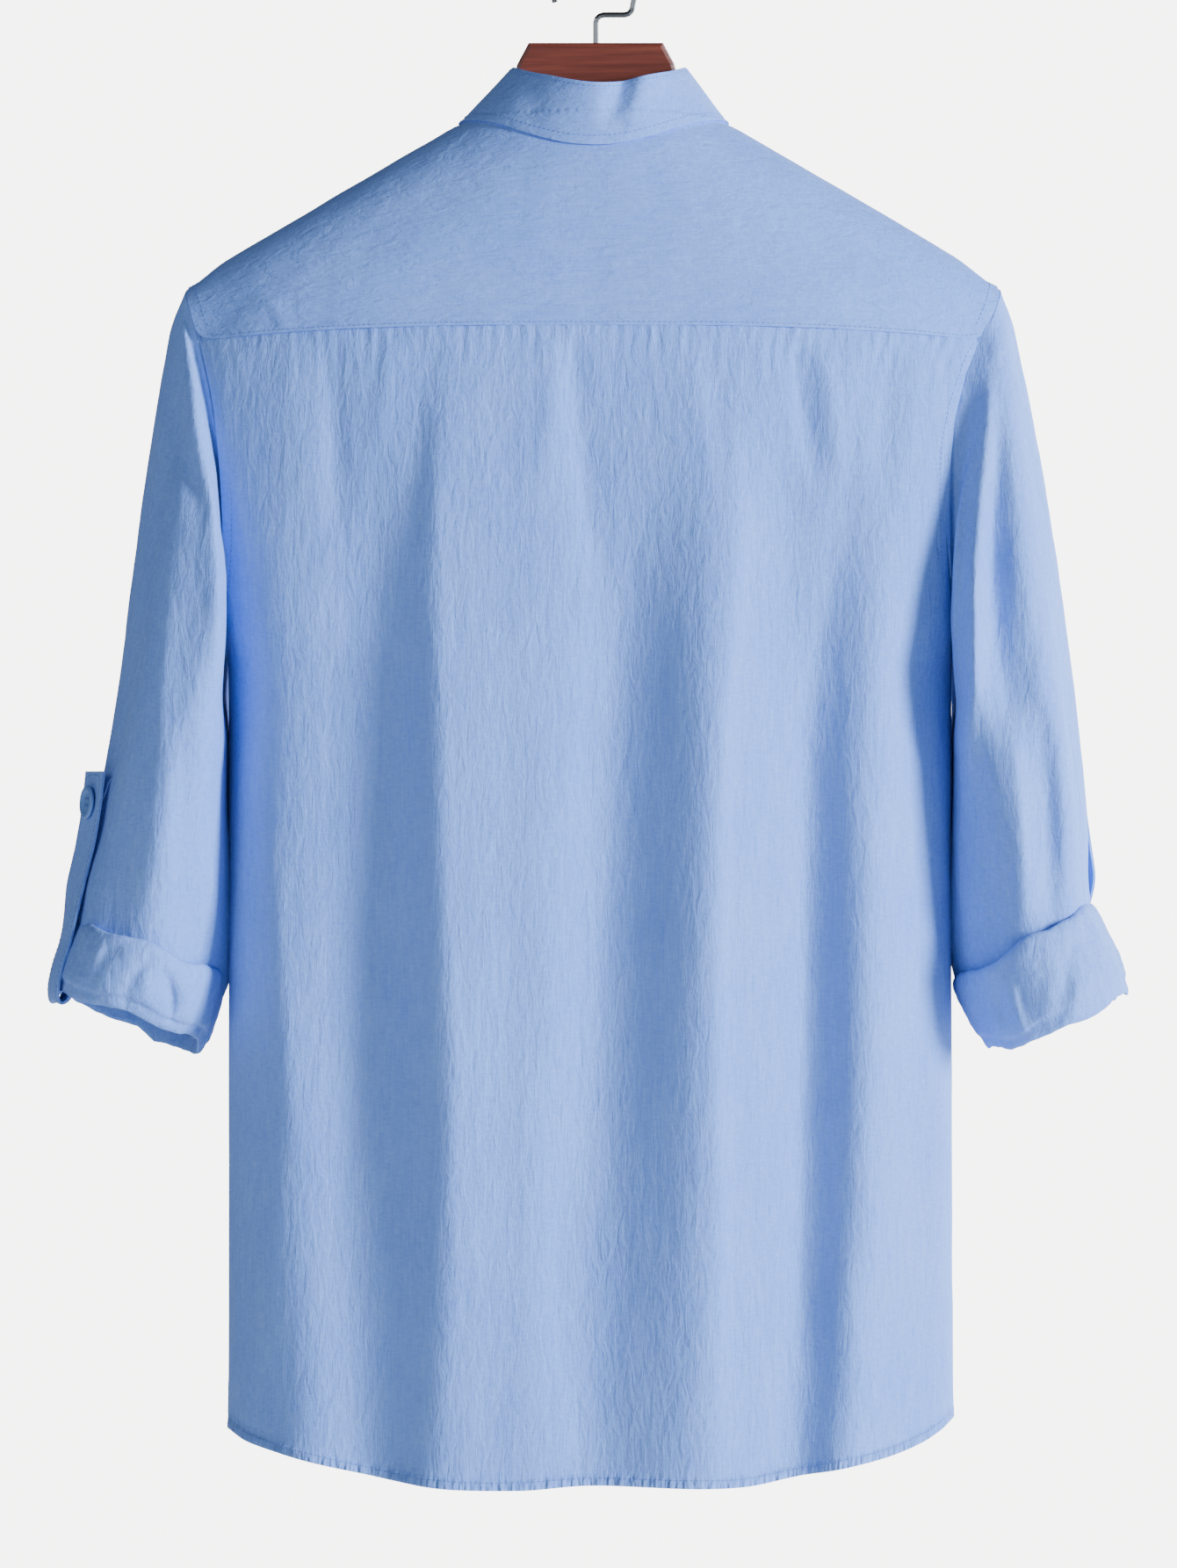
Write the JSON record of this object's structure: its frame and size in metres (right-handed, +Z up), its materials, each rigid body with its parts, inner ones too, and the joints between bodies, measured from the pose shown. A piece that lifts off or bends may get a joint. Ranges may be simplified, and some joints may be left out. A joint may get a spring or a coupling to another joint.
{
  "type": "mandarin collar shirt on a hanger",
  "caption": "Long-sleeved band-collar shirt with rolled, tabbed sleeves and a gathered back, buttoned up on a flat wooden hanger with a wire hook.",
  "frame": {"origin": "where the inside of the hook's top rests on a rail", "axes": "+Z up, -Y is the way the garment's back faces, +Y its buttoned front; the wearer's left is -X"},
  "size_m": [0.6144, 0.1632, 0.8732],
  "materials": {
    "cloth": "light blue cotton and linen plain weave, washed and soft, matt",
    "button": "polyester resin dyed to the cloth's blue, satin",
    "hanger_wood": "mahogany-stained hardwood, semi-gloss varnish",
    "hook_metal": "dark nickel-plated steel wire"
  },
  "bodies": {
    "root": {"back_panel": "cloth", "yoke": "cloth", "front_left": "cloth", "front_right": "cloth", "placket": "cloth", "collar": "cloth", "sleeve_left": "cloth", "sleeve_right": "cloth", "roll_left": "cloth", "roll_right": "cloth", "tab_left": "cloth", "tab_right": "cloth", "tab_button_left": "button", "tab_button_right": "button", "collar_button": "button", "front_button_1": "button", "front_button_2": "button", "front_button_3": "button", "front_button_4": "button", "front_button_5": "button", "front_button_6": "button", "front_button_7": "button", "hanger": "hanger_wood", "hook": "hook_metal"}
  },
  "joints": []
}
